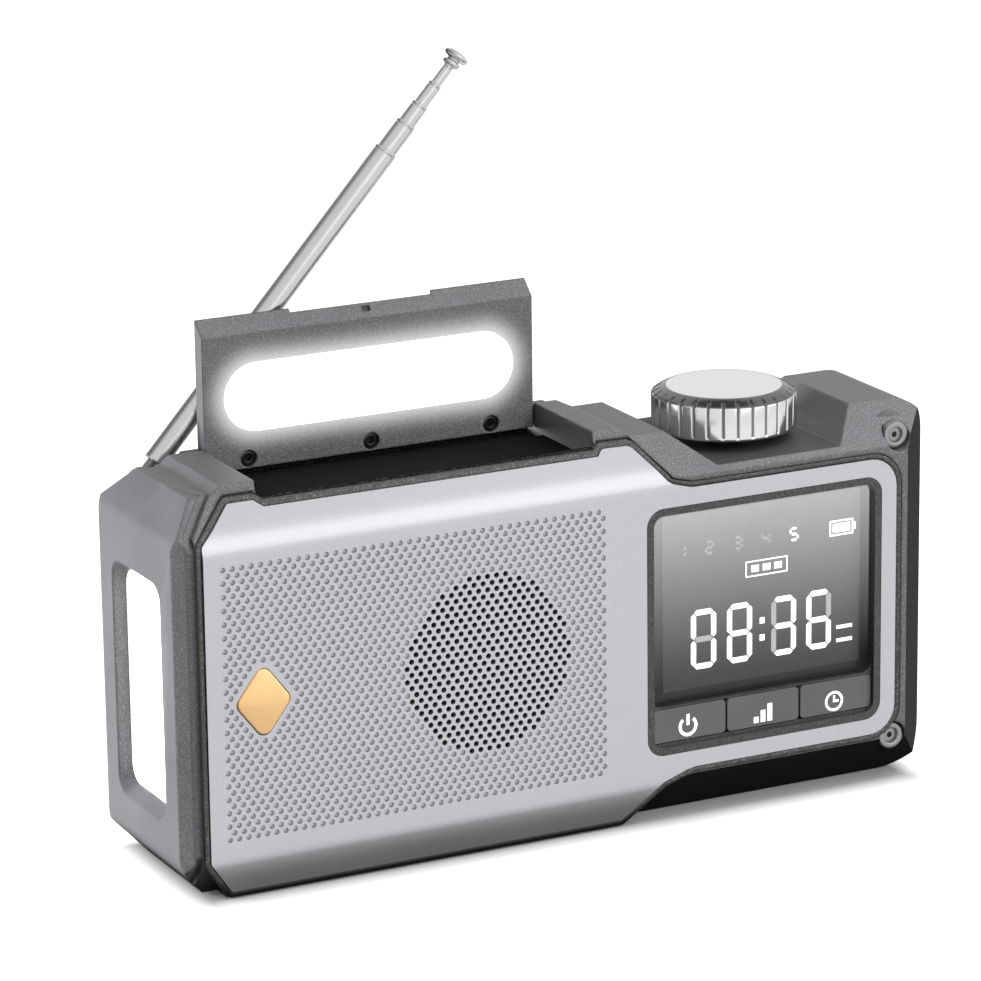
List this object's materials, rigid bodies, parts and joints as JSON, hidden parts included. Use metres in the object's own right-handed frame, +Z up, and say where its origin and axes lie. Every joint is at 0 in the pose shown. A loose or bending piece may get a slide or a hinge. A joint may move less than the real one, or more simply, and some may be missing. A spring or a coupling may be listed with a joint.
{
  "type": "emergency radio",
  "caption": "Emergency radio with perforated metal front, clock display, tuning knob, lift-up lamp lid, side torch, telescopic antenna and folding hand crank.",
  "frame": {"origin": "centre of the base footprint, on the surface the rubber pads stand on", "axes": "+X to the right as seen from the front, -Y out of the front, +Z up"},
  "size_m": [0.1806, 0.0457, 0.1651],
  "materials": {
    "case_plastic": "matt, lightly textured",
    "silver_panel": "satin metallic",
    "black_rubber": "matt",
    "black_gloss": "satin",
    "window": "clear, tinted",
    "lcd": "grey liquid crystal cell",
    "key_plastic": "satin",
    "silicone": "translucent matt",
    "board": "solder mask",
    "amber": "translucent amber",
    "steel": "bright",
    "cone_paper": "felted",
    "magnet": "dull",
    "cloth": "woven",
    "lid_plastic": "matt",
    "lens": "opal diffuser",
    "led_board": "white solder mask",
    "solar": "dark cells under glass",
    "screw_black": "blackened",
    "screw_steel": "bright",
    "knob_metal": "brushed",
    "chrome": "polished",
    "cell_wrap": "shrink wrap",
    "inner_plastic": "moulded",
    "crank_plastic": "matt",
    "gear_plastic": "natural acetal",
    "brass": "turned"
  },
  "bodies": {
    "case": {"front_shell": "case_plastic", "rear_shell": "case_plastic", "front_panel": "silver_panel", "panel_seal": "black_rubber", "display_bezel": "black_gloss", "display_window": "window", "lcd_module": "lcd", "button_mat": "silicone", "front_board": "board", "main_board": "board", "speaker_frame": "steel", "speaker_cone": "cone_paper", "speaker_magnet": "magnet", "grille_cloth": "cloth", "lid_tray": "case_plastic", "lid_pins": "steel", "encoder_body": "steel", "torch_lens": "lens", "torch_board": "led_board", "battery_cell": "cell_wrap", "battery_holder": "inner_plastic", "battery_door": "case_plastic", "door_screws": "screw_black", "crank_bush": "brass", "idler_axle": "steel", "gear_plate": "steel", "dynamo_can": "steel", "port_board": "board", "base_pads": "black_rubber", "corner_screws": "screw_steel", "case_screws": "screw_black"},
    "lid": {"lid_frame": "lid_plastic", "lamp_lens": "lens", "lamp_board": "led_board", "solar_panel": "solar", "lid_screws": "screw_black"},
    "knob": {"tuning_knob": "knob_metal", "knob_disc": "knob_metal", "encoder_shaft": "steel"},
    "power_key": {"power_button": "key_plastic"},
    "band_key": {"band_button": "key_plastic"},
    "alarm_key": {"alarm_button": "key_plastic"},
    "alert_key": {"alert_button": "amber"},
    "swivel": {"antenna_swivel": "chrome", "antenna_pin": "steel"},
    "mast_1": {"antenna_tube_1": "chrome"},
    "mast_2": {"antenna_tube_2": "chrome"},
    "mast_3": {"antenna_tube_3": "chrome"},
    "mast_4": {"antenna_tube_4": "chrome"},
    "mast_5": {"antenna_rod": "chrome", "antenna_tip": "chrome"},
    "crank": {"crank_arm": "crank_plastic", "crank_shaft": "steel", "crank_gear": "gear_plastic", "grip_pin": "steel"},
    "grip": {"grip_stem": "steel"},
    "sleeve": {"grip_sleeve": "crank_plastic"},
    "idler": {"idler_gear": "gear_plastic"},
    "rotor": {"dynamo_rotor": "brass"},
    "port_flap": {"port_cover": "black_rubber"}
  },
  "joints": [
    {"name": "lid_hinge", "type": "hinge", "parent": "case", "child": "lid", "pos_m": [0, 0.0155, 0.0846], "axis": [1, 0, 0], "range_deg": [0, 90]},
    {"name": "tuning_turn", "type": "hinge", "parent": "case", "child": "knob", "pos_m": [0.0487, 0, 0.08], "axis": [0, 0, 1], "continuous": true},
    {"name": "power_press", "type": "slide", "parent": "case", "child": "power_key", "axis": [0, 1, 0], "range_m": [0, 0.0008], "stiffness_N_per_m": 1200, "springref_m": -0.0006},
    {"name": "band_press", "type": "slide", "parent": "case", "child": "band_key", "axis": [0, 1, 0], "range_m": [0, 0.0008], "stiffness_N_per_m": 1200, "springref_m": -0.0006},
    {"name": "alarm_press", "type": "slide", "parent": "case", "child": "alarm_key", "axis": [0, 1, 0], "range_m": [0, 0.0008], "stiffness_N_per_m": 1200, "springref_m": -0.0006},
    {"name": "alert_press", "type": "slide", "parent": "case", "child": "alert_key", "axis": [0, 1, 0], "range_m": [0, 0.0008], "stiffness_N_per_m": 1200, "springref_m": -0.0006},
    {"name": "antenna_swing", "type": "hinge", "parent": "case", "child": "swivel", "pos_m": [-0.08015, 0.0204, 0.07995], "axis": [0, 1, 0], "range_deg": [-60, 47.8]},
    {"name": "antenna_tilt", "type": "hinge", "parent": "swivel", "child": "mast_1", "pos_m": [-0.08015, 0.0204, 0.07995], "axis": [-0.7408, 0, 0.6717], "range_deg": [0, 90]},
    {"name": "antenna_slide_1", "type": "slide", "parent": "mast_1", "child": "mast_2", "axis": [0.6717, 0, 0.7408], "range_m": [-0.0067, 0.0578]},
    {"name": "antenna_slide_2", "type": "slide", "parent": "mast_2", "child": "mast_3", "axis": [0.6717, 0, 0.7408], "range_m": [-0.0045, 0.057]},
    {"name": "antenna_slide_3", "type": "slide", "parent": "mast_3", "child": "mast_4", "axis": [0.6717, 0, 0.7408], "range_m": [-0.005, 0.0535]},
    {"name": "antenna_slide_4", "type": "slide", "parent": "mast_4", "child": "mast_5", "axis": [0.6717, 0, 0.7408], "range_m": [-0.0045, 0.051]},
    {"name": "crank_turn", "type": "hinge", "parent": "case", "child": "crank", "pos_m": [0.04, 0, 0.043], "axis": [0, 1, 0], "continuous": true},
    {"name": "grip_fold", "type": "hinge", "parent": "crank", "child": "grip", "pos_m": [0.017, 0.0187, 0.043], "axis": [0, 0, 1], "range_deg": [0, 90]},
    {"name": "grip_spin", "type": "hinge", "parent": "grip", "child": "sleeve", "pos_m": [0.027, 0.0187, 0.043], "axis": [1, 0, 0], "continuous": true},
    {"name": "idler_turn", "type": "hinge", "parent": "case", "child": "idler", "pos_m": [0.01641, 0, 0.02648], "axis": [0, 1, 0], "continuous": true},
    {"name": "rotor_turn", "type": "hinge", "parent": "case", "child": "rotor", "pos_m": [0.01262, 0, 0.04693], "axis": [0, 1, 0], "continuous": true},
    {"name": "port_flap_turn", "type": "hinge", "parent": "case", "child": "port_flap", "pos_m": [-0.0413, 0.0208, 0.048], "axis": [-1, 0, 0], "range_deg": [0, 90]}
  ],
  "couplings": [
    {"joint": "idler_turn", "follows": "crank_turn", "ratio": -5},
    {"joint": "rotor_turn", "follows": "crank_turn", "ratio": 16.667}
  ]
}
